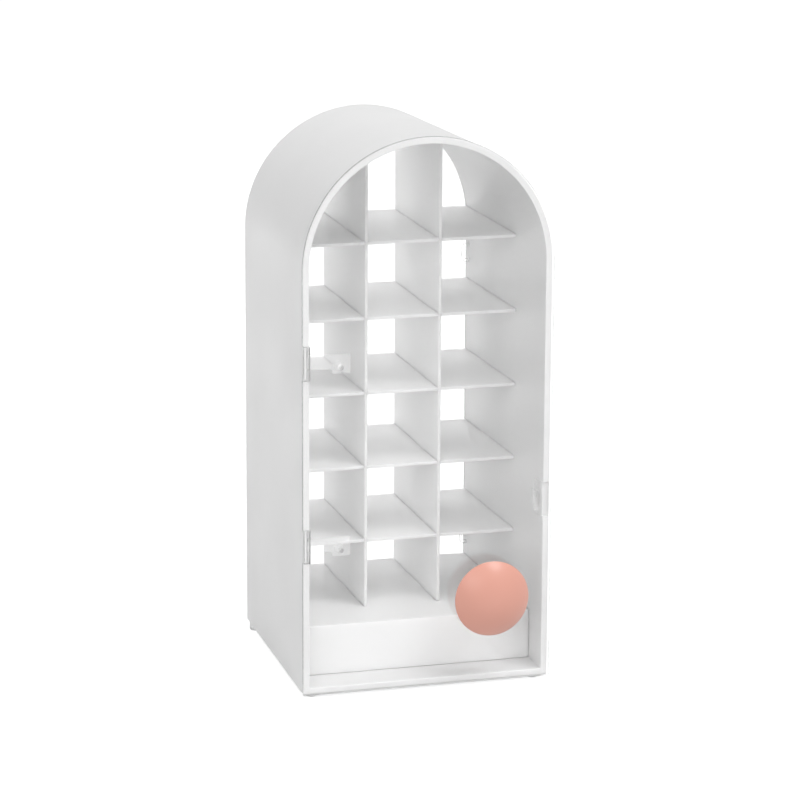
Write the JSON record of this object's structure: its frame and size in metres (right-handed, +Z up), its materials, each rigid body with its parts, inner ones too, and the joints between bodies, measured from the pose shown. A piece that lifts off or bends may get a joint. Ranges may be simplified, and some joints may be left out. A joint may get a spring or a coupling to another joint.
{
  "type": "lipstick organizer",
  "caption": "Arch-topped upright cabinet with a grid of cells for lipsticks, a clear side-hinged front door with a round knob, and small feet.",
  "frame": {"origin": "under the middle of the whole object's outline, on the surface its feet stand on", "axes": "+Z up, +Y from the door towards the back, +X to the right as seen from the front"},
  "size_m": [0.1006, 0.1112, 0.2195],
  "materials": {
    "shell_white": "satin moulded white",
    "grid_white": "satin white sheet",
    "clear_door": "clear, polished",
    "clear_panel": "clear, polished",
    "clear_hardware": "clear moulded",
    "knob_salmon": "soft satin salmon",
    "steel": "plain zinc-plated",
    "clear_foot": "clear soft bumper"
  },
  "bodies": {
    "cabinet": {"arch_shell": "shell_white", "base_step": "shell_white", "left_divider": "grid_white", "right_divider": "grid_white", "shelf_1": "grid_white", "shelf_2": "grid_white", "shelf_3": "grid_white", "shelf_4": "grid_white", "shelf_5": "grid_white", "rear_panel": "clear_panel", "upper_hinge_frame_leaf": "clear_hardware", "upper_hinge_pin": "steel", "lower_hinge_frame_leaf": "clear_hardware", "lower_hinge_pin": "steel", "catch_keeper": "clear_hardware", "front_left_foot": "clear_foot", "front_right_foot": "clear_foot", "rear_left_foot": "clear_foot", "rear_right_foot": "clear_foot"},
    "door": {"front_door": "clear_door", "door_knob": "knob_salmon", "knob_screw": "steel", "knob_washer": "clear_hardware", "upper_hinge_door_leaf": "clear_hardware", "upper_hinge_rivet": "clear_hardware", "lower_hinge_door_leaf": "clear_hardware", "lower_hinge_rivet": "clear_hardware", "catch_tongue": "clear_hardware"}
  },
  "joints": [
    {"name": "door_hinge", "type": "hinge", "parent": "cabinet", "child": "door", "pos_m": [-0.049, -0.04347, 0.0981], "axis": [0, 0, -1], "range_deg": [0, 180]}
  ]
}
